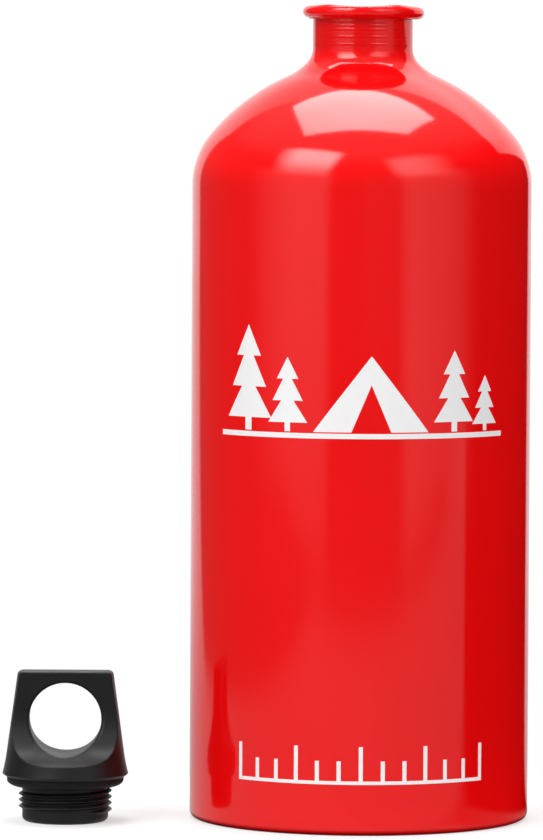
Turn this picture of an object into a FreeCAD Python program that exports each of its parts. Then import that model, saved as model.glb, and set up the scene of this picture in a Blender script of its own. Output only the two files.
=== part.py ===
import FreeCAD, Part
import math
import os
import Sketcher
from enum import IntEnum

# Camping fuel bottle: a drawn shell with a rolled rim, and its screw stopper and seal, taken off beside it.
# Origin on the floor at the middle of the bottle's foot, +Z up the bottle, +X to the right, +Y to the back.
DIMENSIONS = {
    # bottle
    "body_diameter": 100.0,
    "body_height": 186.85,
    "wall": 0.9,
    "base_wall": 1.5,
    "base_crown": 7.0,
    "foot_width": 3.0,
    "base_corner_radius": 2.2,
    "base_inner_radius": 4.0,
    # shoulder: a tight arc off the body, a wide arc over the dome, then two hollow arcs up into the neck
    "shoulder_radius": 23.7,
    "shoulder_angle": 39.8,
    "dome_radius": 62.2,
    "collar_radius": 30.7,
    "collar_angle": 44.6,
    "neck_fillet_radius": 3.6,
    # neck and rolled rim
    "neck_diameter": 29.4,
    "neck_length": 11.4,
    "rim_roll_diameter": 4.25,
    "rim_roll_end_angle": 60.0,
    # screw fit between stopper and neck, from the neck's bore inwards
    "thread_clearance": 0.15,
    "thread_depth": 1.0,
    # stopper
    "plug_length": 13.2,
    "plug_end_radius": 1.6,
    "plug_wall": 2.6,
    "core_draft": 1.5,
    "core_corner_radius": 2.0,
    "core_roof": 3.2,
    "flange_overhang": 0.45,
    "flange_bevel_width": 1.1,
    "flange_bevel_height": 0.9,
    "flange_band_height": 6.2,
    "flange_flare": 1.24,
    "loop_height": 31.0,
    "loop_taper": 7.7,
    "loop_thickness": 8.6,
    "scoop_drop": 11.5,
    "scoop_foot": 3.5,
    "finger_hole_diameter": 21.2,
    "loop_bar": 3.3,
    "top_edge_radius": 1.1,
    "hole_edge_radius": 1.1,
    "loop_edge_radius": 0.5,
    # seal ring under the stopper's flange
    "seal_clearance": 0.2,
    "seal_inset": 0.25,
    "seal_height": 3.3,
    "seal_rim_height": 1.2,
    "seal_land": 0.8,
    # where the stopper stands: clear of the bottle's side, a little in front of its axis
    "stopper_gap": 17.9,
    "stopper_forward": 14.0,
}

CUT_OVERRUN = 2.0
ON_FACE = 0.001
FAILED_STATES = {"Invalid", "Error"}


class Code(IntEnum):
    """The sketcher's own codes for the ends of a line or arc and for the sketch's axes."""

    START = 1
    END = 2
    CENTRE = 3
    X_AXIS = -1
    Z_AXIS = -2


START, END, CENTRE, X_AXIS, Z_AXIS = Code
ORIGIN = (X_AXIS, START)

doc = FreeCAD.newDocument("fuel_bottle")
sheet = doc.addObject("Spreadsheet::Sheet", "dims")
for row, (alias, value) in enumerate(DIMENSIONS.items(), start=1):
    sheet.set(f"A{row}", alias.replace("_", " "))
    sheet.set(f"B{row}", str(value))
    sheet.setAlias(f"B{row}", alias)
doc.recompute()

# Lengths that several features share, written once as expressions of the sheet
BODY_RADIUS = "dims.body_diameter / 2"
NECK_RADIUS = "dims.neck_diameter / 2"
FOOT_INNER_RADIUS = f"{BODY_RADIUS} - dims.base_corner_radius - dims.foot_width"
PLUG_RADIUS = f"{NECK_RADIUS} - dims.wall - dims.thread_clearance - dims.thread_depth"
RIM_RADIUS = f"{NECK_RADIUS} - dims.wall + dims.rim_roll_diameter"
FLANGE_RADIUS = f"{RIM_RADIUS} + dims.flange_overhang"
FLANGE_FACE_RADIUS = f"{FLANGE_RADIUS} - dims.flange_bevel_width"
BAND_BOTTOM = "dims.plug_length + dims.flange_bevel_height"
BAND_TOP = f"{BAND_BOTTOM} + dims.flange_band_height"
BAND_RADIUS = f"{FLANGE_RADIUS} - dims.flange_flare"
STOPPER_HEIGHT = "dims.plug_length + dims.loop_height"
HEAD_RADIUS = f"{BAND_RADIUS} - ({STOPPER_HEIGHT} - ({BAND_TOP})) * tan(dims.loop_taper)"
LOOP_FACE = "dims.loop_thickness / 2"
SCOOP_TOP = f"{STOPPER_HEIGHT} - dims.scoop_drop"
SCOOP_REACH = f"({FLANGE_RADIUS} - {LOOP_FACE})"
SCOOP_FALL = f"({SCOOP_TOP} - ({BAND_BOTTOM}) - dims.scoop_foot)"
SCOOP_RADIUS = f"({SCOOP_REACH} ^ 2 + {SCOOP_FALL} ^ 2) / (2 * {SCOOP_REACH})"
HOLE_RADIUS = "dims.finger_hole_diameter / 2"
HOLE_HEIGHT = f"{STOPPER_HEIGHT} - dims.loop_bar - {HOLE_RADIUS}"
CORE_DEPTH = f"{HOLE_HEIGHT} - {HOLE_RADIUS} - dims.core_roof"


def size(expression):
    """The present value of an expression of the sheet."""
    return float(sheet.evalExpression(expression))


def point(x, z):
    return FreeCAD.Vector(x, z, 0)


def new_body(label):
    body = doc.addObject("PartDesign::Body", label)
    body.Label = label
    return body


def new_sketch(body, name, role):
    """An empty sketch on one of the body's own origin planes."""
    sketch = body.newObject("Sketcher::SketchObject", name)
    plane = next(f for f in body.Origin.OriginFeatures if f.Role == role)
    sketch.AttachmentSupport = [(plane, "")]
    sketch.MapMode = "FlatFace"
    return sketch


def line(sketch, start, end):
    return sketch.addGeometry(Part.LineSegment(point(*start), point(*end)), False)


def arc(sketch, centre, radius, start_angle, end_angle):
    """An arc that runs anticlockwise between two angles in radians."""
    circle = Part.Circle(point(*centre), FreeCAD.Vector(0, 0, 1), radius)
    return sketch.addGeometry(Part.ArcOfCircle(circle, start_angle, end_angle), False)


def tie(sketch, kind, *where):
    sketch.addConstraint(Sketcher.Constraint(kind, *where))


def drive(sketch, expression, kind, *where):
    """A dimension that follows an expression of the sheet."""
    index = sketch.addConstraint(Sketcher.Constraint(kind, *where, size(expression)))
    sketch.setExpression(f"Constraints[{index}]", expression)


def drive_point(sketch, geometry, end, x=None, z=None):
    """Distances of one end of a line or arc from the sketch's origin."""
    if x is not None:
        drive(sketch, x, "DistanceX", *ORIGIN, geometry, end)
    if z is not None:
        drive(sketch, z, "DistanceY", *ORIGIN, geometry, end)


def revolve(body, sketch, name):
    feature = body.newObject("PartDesign::Revolution", name)
    feature.Profile = sketch
    feature.ReferenceAxis = (sketch, ["V_Axis"])
    doc.recompute()
    return feature


def cut_through(body, sketch, name):
    """A pocket that runs from the sketch through the whole solid both ways."""
    before = body.Shape.Volume
    pocket = body.newObject("PartDesign::Pocket", name)
    pocket.Profile = sketch
    pocket.Type = "ThroughAll"
    pocket.SideType = "Symmetric"
    doc.recompute()
    if pocket.Shape.Volume >= before:
        raise RuntimeError(f"{name} cuts nothing")
    return pocket


def edges_where(feature, test):
    """Names of the edges whose two ends and middle pass the test."""
    names = []
    for number, edge in enumerate(feature.Shape.Edges, start=1):
        first, last = edge.ParameterRange
        if all(test(edge.valueAt(at)) for at in (first, (first + last) / 2, last)):
            names.append(f"Edge{number}")
    return names


def round_edges(body, feature, name, test, radius):
    edges = edges_where(feature, test)
    if not edges:
        raise RuntimeError(f"{name} finds no edge")
    fillet = body.newObject("PartDesign::Fillet", name)
    fillet.Base = (feature, edges)
    fillet.setExpression("Radius", radius)
    doc.recompute()
    return fillet


def place_stopper(body):
    """The stopper and its seal stand beside the bottle."""
    body.setExpression("Placement.Base.x", f"-({BODY_RADIUS} + dims.stopper_gap + {FLANGE_RADIUS})")
    body.setExpression("Placement.Base.y", "-dims.stopper_forward")
    doc.recompute()


def shoulder_run(sketch, inset):
    """Body wall, shoulder, dome, collar, neck fillet and neck of one face of the shell, set in by `inset`.

    Returns the wall line, with its lower end free, and the neck line, with its upper end free.
    """
    angle = math.radians(size("dims.shoulder_angle"))
    bend = math.radians(size("dims.collar_angle"))
    body_radius = size(f"{BODY_RADIUS} - {inset}")
    neck_radius = size(f"{NECK_RADIUS} - {inset}")
    tight = size(f"dims.shoulder_radius - {inset}")
    wide = size(f"dims.dome_radius - {inset}")
    sweep = size(f"dims.collar_radius + {inset}")
    hollow = size(f"dims.neck_fillet_radius + {inset}")
    wall_top = size("dims.body_height")
    tight_centre = (body_radius - tight, wall_top)
    wide_centre = (
        tight_centre[0] + (tight - wide) * math.cos(angle),
        tight_centre[1] + (tight - wide) * math.sin(angle),
    )
    sweep_x = neck_radius + hollow + (sweep - hollow) * math.cos(bend)
    top_angle = math.acos((sweep_x - wide_centre[0]) / (wide + sweep))
    sweep_centre = (sweep_x, wide_centre[1] + (wide + sweep) * math.sin(top_angle))
    hollow_centre = (neck_radius + hollow, sweep_centre[1] - (sweep - hollow) * math.sin(bend))
    neck_top = hollow_centre[1] + size("dims.neck_length")

    wall = line(sketch, (body_radius, wall_top / 2), (body_radius, wall_top))
    shoulder = arc(sketch, tight_centre, tight, 0, angle)
    dome = arc(sketch, wide_centre, wide, angle, top_angle)
    collar = arc(sketch, sweep_centre, sweep, math.pi + bend, math.pi + top_angle)
    fillet = arc(sketch, hollow_centre, hollow, math.pi, math.pi + bend)
    neck = line(sketch, (neck_radius, hollow_centre[1]), (neck_radius, neck_top))
    tie(sketch, "Tangent", wall, END, shoulder, START)
    tie(sketch, "Tangent", shoulder, END, dome, START)
    tie(sketch, "Tangent", dome, END, collar, END)
    tie(sketch, "Tangent", collar, START, fillet, END)
    tie(sketch, "Tangent", fillet, START, neck, START)
    tie(sketch, "Vertical", wall)
    tie(sketch, "Vertical", neck)
    drive_point(sketch, wall, END, x=f"{BODY_RADIUS} - {inset}", z="dims.body_height")
    drive(sketch, f"dims.shoulder_radius - {inset}", "Radius", shoulder)
    drive(sketch, f"dims.dome_radius - {inset}", "Radius", dome)
    drive(sketch, f"dims.collar_radius + {inset}", "Radius", collar)
    drive(sketch, f"dims.neck_fillet_radius + {inset}", "Radius", fillet)
    rise = f"(dims.shoulder_radius - {inset}) * sin(dims.shoulder_angle)"
    drive(sketch, rise, "DistanceY", shoulder, CENTRE, shoulder, END)
    fall = f"(dims.neck_fillet_radius + {inset}) * sin(dims.collar_angle)"
    drive(sketch, fall, "DistanceY", fillet, END, fillet, CENTRE)
    return wall, neck


def bottle_shell():
    """The drawn shell: one wall section, foot to rolled rim and back down inside, turned about the axis."""
    body = new_body("bottle_shell")
    section = new_sketch(body, "wall_section", "XZ_Plane")
    outer_wall, outer_neck = shoulder_run(section, "0")
    inner_wall, inner_neck = shoulder_run(section, "dims.wall")

    # domed base and flat foot ring
    crown = size("dims.base_crown")
    foot_inner = size(FOOT_INNER_RADIUS)
    base_radius = (foot_inner ** 2 + crown ** 2) / (2 * crown)
    base_centre = (0, crown - base_radius)
    corner = size("dims.base_corner_radius")
    corner_centre = (size(BODY_RADIUS) - corner, corner)
    foot_angle = math.asin(-base_centre[1] / base_radius)
    base_under = arc(section, base_centre, base_radius, foot_angle, math.pi / 2)
    foot = line(section, (foot_inner, 0), (corner_centre[0], 0))
    base_corner = arc(section, corner_centre, corner, -math.pi / 2, 0)
    tie(section, "PointOnObject", base_under, CENTRE, Z_AXIS)
    tie(section, "PointOnObject", base_under, END, Z_AXIS)
    drive_point(section, base_under, END, z="dims.base_crown")
    tie(section, "Coincident", base_under, START, foot, START)
    tie(section, "PointOnObject", foot, START, X_AXIS)
    tie(section, "Horizontal", foot)
    drive_point(section, foot, START, x=FOOT_INNER_RADIUS)
    tie(section, "Tangent", foot, END, base_corner, START)
    tie(section, "Tangent", base_corner, END, outer_wall, START)
    drive(section, "dims.base_corner_radius", "Radius", base_corner)

    # inside of the base, rounded up into the wall
    floor_radius = base_radius + size("dims.base_wall")
    round_radius = size("dims.base_inner_radius")
    round_x = size(f"{BODY_RADIUS} - dims.wall") - round_radius
    reach = floor_radius + round_radius
    round_centre = (round_x, base_centre[1] + math.sqrt(reach ** 2 - round_x ** 2))
    floor_angle = math.acos(round_x / reach)
    base_floor = arc(section, base_centre, floor_radius, floor_angle, math.pi / 2)
    base_round = arc(section, round_centre, round_radius, floor_angle - math.pi, 0)
    axis = line(section, (0, crown + size("dims.base_wall")), (0, crown))
    tie(section, "Coincident", base_floor, CENTRE, base_under, CENTRE)
    tie(section, "PointOnObject", base_floor, END, Z_AXIS)
    drive_point(section, base_floor, END, z="dims.base_crown + dims.base_wall")
    tie(section, "Tangent", base_floor, START, base_round, START)
    tie(section, "Tangent", base_round, END, inner_wall, START)
    drive(section, "dims.base_inner_radius", "Radius", base_round)
    tie(section, "Coincident", axis, START, base_floor, END)
    tie(section, "Coincident", axis, END, base_under, END)

    # the neck's wall rolled outwards and down into the rim
    neck_top = section.getPoint(outer_neck, END)
    roll_outer = size("dims.rim_roll_diameter / 2")
    roll_inner = size("dims.rim_roll_diameter / 2 - dims.wall")
    roll_centre = (neck_top.x + roll_inner, neck_top.y)
    end_angle = math.radians(size("dims.rim_roll_end_angle")) - math.pi
    roll_in = arc(section, roll_centre, roll_inner, end_angle, math.pi)
    roll_out = arc(section, roll_centre, roll_outer, end_angle, math.pi)
    toward_end = (math.cos(end_angle), math.sin(end_angle))
    roll_end = line(
        section,
        (roll_centre[0] + roll_inner * toward_end[0], roll_centre[1] + roll_inner * toward_end[1]),
        (roll_centre[0] + roll_outer * toward_end[0], roll_centre[1] + roll_outer * toward_end[1]),
    )
    tie(section, "Tangent", outer_neck, END, roll_in, END)
    tie(section, "Tangent", inner_neck, END, roll_out, END)
    tie(section, "Coincident", roll_out, CENTRE, roll_in, CENTRE)
    tie(section, "Coincident", roll_end, START, roll_in, START)
    tie(section, "Coincident", roll_end, END, roll_out, START)
    tie(section, "PointOnObject", roll_in, CENTRE, roll_end)
    drive_point(section, outer_neck, END, x=NECK_RADIUS)
    drive(section, "dims.neck_length", "Distance", outer_neck)
    drive(section, "dims.rim_roll_diameter / 2 - dims.wall", "Radius", roll_in)
    drive(section, "dims.rim_roll_diameter / 2", "Radius", roll_out)
    end_drop = "dims.rim_roll_diameter / 2 * sin(dims.rim_roll_end_angle)"
    drive(section, end_drop, "DistanceY", roll_end, END, roll_out, CENTRE)
    revolve(body, section, "drawn_shell")
    return body


def stopper_blank(body):
    """The stopper before its loop is cut: a cored plug, a bevelled flange and a tapered head."""
    blank = new_sketch(body, "blank_section", "XZ_Plane")
    plug = size(PLUG_RADIUS)
    plug_top = size("dims.plug_length")
    end_round = size("dims.plug_end_radius")
    core = plug - size("dims.plug_wall")
    depth = size(CORE_DEPTH)
    core_round = size("dims.core_corner_radius")
    draft = math.radians(size("dims.core_draft"))
    head_top = size(STOPPER_HEIGHT)
    head_radius = size(HEAD_RADIUS)
    taper = math.radians(size("dims.loop_taper"))
    flange = size(FLANGE_RADIUS)
    band_bottom = size(BAND_BOTTOM)
    band_top = size(BAND_TOP)
    band_radius = size(BAND_RADIUS)
    core_top = core - depth * math.tan(draft)
    core_round_x = core_top - core_round * (1 - math.sin(draft)) / math.cos(draft)
    core_centre = (core_round_x, depth - core_round)

    roof = line(blank, (0, depth), (core_round_x, depth))
    roof_round = arc(blank, core_centre, core_round, draft, math.pi / 2)
    core_wall = line(
        blank,
        (core_centre[0] + core_round * math.cos(draft), core_centre[1] + core_round * math.sin(draft)),
        (core, 0),
    )
    plug_end = line(blank, (core, 0), (plug - end_round, 0))
    plug_round = arc(blank, (plug - end_round, end_round), end_round, -math.pi / 2, 0)
    plug_wall = line(blank, (plug, end_round), (plug, plug_top))
    flange_face = line(blank, (plug, plug_top), (size(FLANGE_FACE_RADIUS), plug_top))
    bevel = line(blank, (size(FLANGE_FACE_RADIUS), plug_top), (flange, band_bottom))
    chord = math.hypot(flange - band_radius, band_top - band_bottom)
    lean = math.atan2(flange - band_radius, band_top - band_bottom)
    flare_radius = chord / (2 * math.sin(lean - taper))
    flare_centre = (
        band_radius + flare_radius * math.cos(taper),
        band_top + flare_radius * math.sin(taper),
    )
    flare = arc(blank, flare_centre, flare_radius, math.pi + taper, math.pi + 2 * lean - taper)
    top_round = size("dims.top_edge_radius")
    top_centre = (
        head_radius - top_round * (1 - math.sin(taper)) / math.cos(taper),
        head_top - top_round,
    )
    head_end = (
        top_centre[0] + top_round * math.cos(taper),
        top_centre[1] + top_round * math.sin(taper),
    )
    head = line(blank, (band_radius, band_top), head_end)
    head_round = arc(blank, top_centre, top_round, taper, math.pi / 2)
    top = line(blank, (top_centre[0], head_top), (0, head_top))
    axis = line(blank, (0, head_top), (0, depth))

    tie(blank, "Coincident", axis, END, roof, START)
    tie(blank, "PointOnObject", roof, START, Z_AXIS)
    tie(blank, "Vertical", axis)
    tie(blank, "Horizontal", roof)
    drive_point(blank, roof, START, z=CORE_DEPTH)
    tie(blank, "Tangent", roof, END, roof_round, END)
    tie(blank, "Tangent", roof_round, START, core_wall, START)
    drive(blank, "dims.core_corner_radius", "Radius", roof_round)
    tie(blank, "Coincident", core_wall, END, plug_end, START)
    tie(blank, "PointOnObject", plug_end, START, X_AXIS)
    drive_point(blank, plug_end, START, x=f"{PLUG_RADIUS} - dims.plug_wall")
    core_run = f"({CORE_DEPTH} - dims.core_corner_radius * (1 - sin(dims.core_draft)))"
    drive(blank, f"{core_run} * tan(dims.core_draft)", "DistanceX", core_wall, START, core_wall, END)
    tie(blank, "Horizontal", plug_end)
    tie(blank, "Tangent", plug_end, END, plug_round, START)
    tie(blank, "Tangent", plug_round, END, plug_wall, START)
    drive(blank, "dims.plug_end_radius", "Radius", plug_round)
    tie(blank, "Vertical", plug_wall)
    drive_point(blank, plug_wall, END, x=PLUG_RADIUS, z="dims.plug_length")
    tie(blank, "Coincident", plug_wall, END, flange_face, START)
    tie(blank, "Horizontal", flange_face)
    drive_point(blank, flange_face, END, x=FLANGE_FACE_RADIUS)
    tie(blank, "Coincident", flange_face, END, bevel, START)
    drive_point(blank, bevel, END, x=FLANGE_RADIUS, z=BAND_BOTTOM)
    tie(blank, "Coincident", bevel, END, flare, END)
    tie(blank, "Tangent", flare, START, head, START)
    drive_point(blank, head, START, x=BAND_RADIUS, z=BAND_TOP)
    tie(blank, "Tangent", head, END, head_round, START)
    tie(blank, "Tangent", head_round, END, top, START)
    drive(blank, "dims.top_edge_radius", "Radius", head_round)
    setback = "dims.top_edge_radius * (1 - sin(dims.loop_taper)) / cos(dims.loop_taper)"
    drive_point(blank, top, START, x=f"{HEAD_RADIUS} - {setback}", z=STOPPER_HEIGHT)
    tie(blank, "Horizontal", top)
    tie(blank, "Coincident", top, END, axis, START)
    return revolve(body, blank, "turned_blank")


def stopper_scoop(body):
    """One face of the finger loop: a wide hollow cut that sweeps out to the flange."""
    scoop = new_sketch(body, "scoop_section", "YZ_Plane")
    radius = size(SCOOP_RADIUS)
    face = size(LOOP_FACE)
    height = size(SCOOP_TOP)
    top = size(f"{STOPPER_HEIGHT} + {CUT_OVERRUN}")
    reach = size(f"{FLANGE_RADIUS} + {CUT_OVERRUN}")
    end_angle = math.pi + math.acos((face + radius - reach) / radius)
    hollow = arc(scoop, (face + radius, height), radius, math.pi, end_angle)
    low = (reach, height + radius * math.sin(end_angle))
    face_line = line(scoop, (face, height), (face, top))
    top_line = line(scoop, (face, top), (reach, top))
    side_line = line(scoop, (reach, top), low)
    tie(scoop, "Tangent", hollow, START, face_line, START)
    tie(scoop, "Vertical", face_line)
    tie(scoop, "Coincident", face_line, END, top_line, START)
    tie(scoop, "Horizontal", top_line)
    tie(scoop, "Coincident", top_line, END, side_line, START)
    tie(scoop, "Vertical", side_line)
    tie(scoop, "Coincident", side_line, END, hollow, END)
    drive(scoop, SCOOP_RADIUS, "Radius", hollow)
    drive_point(scoop, face_line, START, x=LOOP_FACE, z=SCOOP_TOP)
    drive_point(scoop, top_line, END, x=f"{FLANGE_RADIUS} + {CUT_OVERRUN}")
    drive_point(scoop, top_line, END, z=f"{STOPPER_HEIGHT} + {CUT_OVERRUN}")
    pocket = cut_through(body, scoop, "front_scoop")

    mirror = body.newObject("PartDesign::Mirrored", "both_scoops")
    plane = next(f for f in body.Origin.OriginFeatures if f.Role == "XZ_Plane")
    mirror.MirrorPlane = (plane, [""])
    mirror.Originals = [pocket]
    body.Tip = mirror
    doc.recompute()
    if mirror.Shape.Volume >= pocket.Shape.Volume:
        raise RuntimeError("the second scoop cuts nothing")
    return mirror


def finger_hole(body):
    hole = new_sketch(body, "hole_section", "XZ_Plane")
    centre = point(0, size(HOLE_HEIGHT))
    circle = Part.Circle(centre, FreeCAD.Vector(0, 0, 1), size(HOLE_RADIUS))
    ring = hole.addGeometry(circle, False)
    tie(hole, "PointOnObject", ring, CENTRE, Z_AXIS)
    drive(hole, HOLE_RADIUS, "Radius", ring)
    drive_point(hole, ring, CENTRE, z=HOLE_HEIGHT)
    return cut_through(body, hole, "finger_hole")


def screw_stopper():
    """The moulded stopper, standing on its plug, with its finger loop facing front and back."""
    body = new_body("screw_stopper")
    stopper_blank(body)
    stopper_scoop(body)
    holed = finger_hole(body)
    hole_height = size(HOLE_HEIGHT)
    hole_radius = size(HOLE_RADIUS)
    face = size(LOOP_FACE)
    scoop_radius = size(SCOOP_RADIUS)
    scoop_height = size(SCOOP_TOP)

    def on_hole(p):
        return abs(math.hypot(p.x, p.z - hole_height) - hole_radius) < ON_FACE and abs(p.y) > ON_FACE

    def on_scoop(p):
        if p.z > scoop_height:
            depth = abs(p.y) - face
        else:
            depth = scoop_radius - math.hypot(face + scoop_radius - abs(p.y), scoop_height - p.z)
        return abs(depth) < ON_FACE and not on_hole(p)

    rounded_hole = round_edges(body, holed, "hole_edges", on_hole, "dims.hole_edge_radius")
    round_edges(body, rounded_hole, "loop_edges", on_scoop, "dims.loop_edge_radius")
    place_stopper(body)
    return body


def stopper_seal():
    """The seal ring: flat on the flange, with a slanted underside that wedges into the rim."""
    body = new_body("stopper_seal")
    section = new_sketch(body, "seal_section", "XZ_Plane")
    inner = f"{PLUG_RADIUS} + dims.seal_clearance"
    outer = f"{FLANGE_FACE_RADIUS} - dims.seal_inset"
    bottom = "dims.plug_length - dims.seal_height"
    corners = [
        (inner, bottom),
        (f"{inner} + dims.seal_land", bottom),
        (outer, "dims.plug_length - dims.seal_rim_height"),
        (outer, "dims.plug_length"),
        (inner, "dims.plug_length"),
    ]
    places = [(size(x), size(z)) for x, z in corners]
    sides = [line(section, a, b) for a, b in zip(places, places[1:] + places[:1])]
    for side, following in zip(sides, sides[1:] + sides[:1]):
        tie(section, "Coincident", side, END, following, START)
    for side, (x, z) in zip(sides, corners):
        drive_point(section, side, START, x=x, z=z)
    revolve(body, section, "seal_ring")
    place_stopper(body)
    return body


nodes = [bottle_shell(), screw_stopper(), stopper_seal()]
doc.recompute()

for item in doc.Objects:
    if FAILED_STATES.intersection(item.State):
        raise RuntimeError(f"{item.Label} failed: {item.State}")
for node in nodes:
    if node.Shape.isNull() or not node.Shape.isValid():
        raise RuntimeError(f"{node.Label} has no valid shape")

os.makedirs("parts", exist_ok=True)
for node in nodes:
    node.Shape.exportStep(f"parts/{node.Label}.step")
    box = node.Shape.optimalBoundingBox()
    sizes = [round(length, 2) for length in (box.XLength, box.YLength, box.ZLength)]
    print(node.Label, "volume", round(node.Shape.Volume, 1), "size", sizes)
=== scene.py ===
import math

import bmesh
import bpy
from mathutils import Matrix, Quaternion, Vector


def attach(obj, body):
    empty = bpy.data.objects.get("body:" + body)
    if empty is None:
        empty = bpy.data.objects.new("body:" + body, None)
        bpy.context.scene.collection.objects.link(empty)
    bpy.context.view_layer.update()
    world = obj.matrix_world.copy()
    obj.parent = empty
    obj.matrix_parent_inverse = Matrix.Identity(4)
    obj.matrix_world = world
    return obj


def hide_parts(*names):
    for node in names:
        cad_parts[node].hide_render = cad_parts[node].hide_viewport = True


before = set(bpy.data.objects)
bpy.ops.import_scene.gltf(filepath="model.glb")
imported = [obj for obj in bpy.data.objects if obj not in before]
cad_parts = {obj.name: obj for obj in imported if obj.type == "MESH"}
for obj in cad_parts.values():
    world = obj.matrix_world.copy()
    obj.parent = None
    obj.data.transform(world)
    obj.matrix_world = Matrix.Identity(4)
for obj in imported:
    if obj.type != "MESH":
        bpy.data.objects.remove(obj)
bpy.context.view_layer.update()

# The object and the camera are written in millimetres and degrees and turned into metres as they
# are made. Lamps, floor and card are written in metres.
MM = 0.001
FULL_TURN = 2 * math.pi

# How near a point lies to count as on the axis or on a wall
ON_AXIS = 1e-6
ON_WALL = 0.01

# Bottle shell
BODY_RADIUS = 50.0
BODY_HEIGHT = 186.85
WALL = 0.9
BASE_WALL = 1.5
BASE_CROWN = 7.0
FOOT_WIDTH = 3.0
BASE_CORNER = 2.2
BASE_INNER_ROUND = 4.0
SHOULDER_RADIUS = 23.7
SHOULDER_ANGLE = 39.8
DOME_RADIUS = 62.2
COLLAR_RADIUS = 18.0
COLLAR_ANGLE = 45.0
NECK_FILLET = 6.5
NECK_RADIUS = 14.7
NECK_LENGTH = 10.657
ROLL_RADIUS = 2.125
ROLL_END = -120.0
BOTTLE_SEGMENTS = 192
BOTTLE_SHARP = 50
OUTSIDE_STEPS = {
    "base": 18, "foot": 2, "corner": 10, "side": 16, "shoulder": 26, "dome": 24,
    "collar": 14, "fillet": 14, "neck": 160, "roll_hollow": 18, "roll_tip": 2, "roll": 40,
}
INSIDE_STEPS = {
    "neck": 64, "fillet": 8, "collar": 8, "dome": 14,
    "shoulder": 16, "side": 6, "corner": 8, "base": 14,
}

# Neck finish: spun ribs outside, a screw thread inside, a slightly uneven rim. Pairs hold where a
# smooth step begins and ends: in shares of the half width at the sides, in shares of the pitch for
# the thread's rise and fall, and in millimetres from the neck's ends for the thread's foot and top.
RIB_PITCH = 1.10
RIB_FIRST = 0.50
RIB_HEIGHTS = (0.062, 0.026, 0.064, 0.026, 0.064, 0.056, 0.056)
RIB_CREST = 0.68
RIB_SIDE = (0.66, 0.84)
RIB_SIDE_LOSS = 0.85
THREAD_PITCH = 1.82
NECK_THREAD_DEPTH = 1.0
NECK_THREAD_FOOT = (0.3, 1.2)
NECK_THREAD_TOP = (0.4, 1.6)
NECK_THREAD_RISE = (0.10, 0.42)
NECK_THREAD_FALL = (0.90, 0.58)
RIM_REACH = 1.5
RIM_LEFT = (0.6, 1.0)
RIM_RIGHT = (0.55, 1.0)
RIM_DIP = 0.60
RIM_DIP_HALF = 0.62
RIM_FLAT_LEFT = 0.18
RIM_FLAT_RIGHT = 0.10
RIM_THIN = 0.12
RIM_LOW_SIDE = 0.45
RIM_PINCH = 0.35

# Stopper and its thread, whose half widths are shares of the pitch
STOPPER_X = -86.4
STOPPER_Y = -14.0
PLUG_RADIUS = 12.65
PLUG_LENGTH = 13.2
THREAD_CREST = 13.70
THREAD_CREST_ROUND = 0.08
THREAD_CREST_HALF = 0.07
THREAD_ROOT_HALF = 0.42
THREAD_SINK = 0.2
THREAD_START = 3.15
THREAD_TURNS = 3.75
THREAD_STEPS = 72
THREAD_FIRST_ANGLE = -72.0
THREAD_RUN_OUT = 0.12
THREAD_LEAST = 0.02
THREAD_ROOT_KEPT = 0.5
THREAD_WIDTH_KEPT = 0.25
THREAD_SHARP = 40

# Seal
SEAL_INNER = 12.85
SEAL_OUTER = 17.15
SEAL_HEIGHT = 2.8
SEAL_EDGE = 0.2
SEAL_FOOT_ROUND = 0.4
SEAL_FOOT = 0.9
SEAL_BAND = 1.0
SEAL_LAST_ANGLE = 170
SEAL_SEGMENTS = 128
SEAL_STEPS = {
    "bore": 2, "foot_round": 4, "foot": 1, "swell": 12,
    "band": 2, "outer_edge": 3, "top": 2, "inner_edge": 2,
}

# Print on the wall: a camp line and a plain scale. Tent and pines have a middle, a width and a
# height, and the line's edges lie below the ground. The other tent and pine values are shares.
INK_OUT = 0.04
INK_IN = 0.03
INK_STEP = 2.0
CAMP_GROUND = 117.0
CAMP_LINE_HALF = 47.0
CAMP_LINE_LOW = 1.9
CAMP_LINE_HIGH = 0.4
TENT = (2.5, 34.0, 22.0)
TENT_DOOR_HALF = 0.17
TENT_DOOR_TOP = 0.62
PINES = ((-36.0, 16.5, 30.5), (-22.5, 12.5, 21.5), (28.0, 13.5, 23.5), (39.5, 10.0, 16.0))
PINE_TIERS = 3
PINE_TRUNK = 0.12
PINE_TRUNK_HALF = 0.07
PINE_TOP_TIER = 0.55
PINE_TIER_GROWTH = 0.225
PINE_NOTCH = 0.4
SCALE_LOW = 15.0
SCALE_HALF = 39.0
SCALE_LINE = 1.0
SCALE_MARKS = 13
SCALE_FIRST = -38.4
SCALE_PITCH = 6.4
SCALE_MARK_HALF = 0.6
SCALE_LONG = 10.0
SCALE_SHORT = 5.8
SCALE_LONG_EVERY = 3

# Materials: the middle of a noise's range, the heights (m) where the painted shade on the neck
# begins and ends, and the numbers of the Mix node's colour sockets
NOISE_MIDDLE = (0.3, 0.7)
NECK_SHADE_FOOT = (0.2245, 0.2285)
NECK_SHADE_TOP = (0.2380, 0.2362)
MIX_COLOUR_A = 6
MIX_COLOUR_B = 7
MIX_COLOUR_OUT = 2

# Camera
CAMERA_LENS = 295.2
CAMERA_SENSOR = 36.0
CAMERA_PLACE = (-26.3, -2030.0, 240.0)
CAMERA_AIM = (-26.3, 0.0, 117.5)
CAMERA_ROLL = 0.3

# Lamps: most stand on a sphere round the bottle's shoulder
LAMP_CENTRE = (0.0, 0.0, 0.2)
LAMP_DISTANCE = 1.5
BOW_EDGE = 0.01

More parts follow.
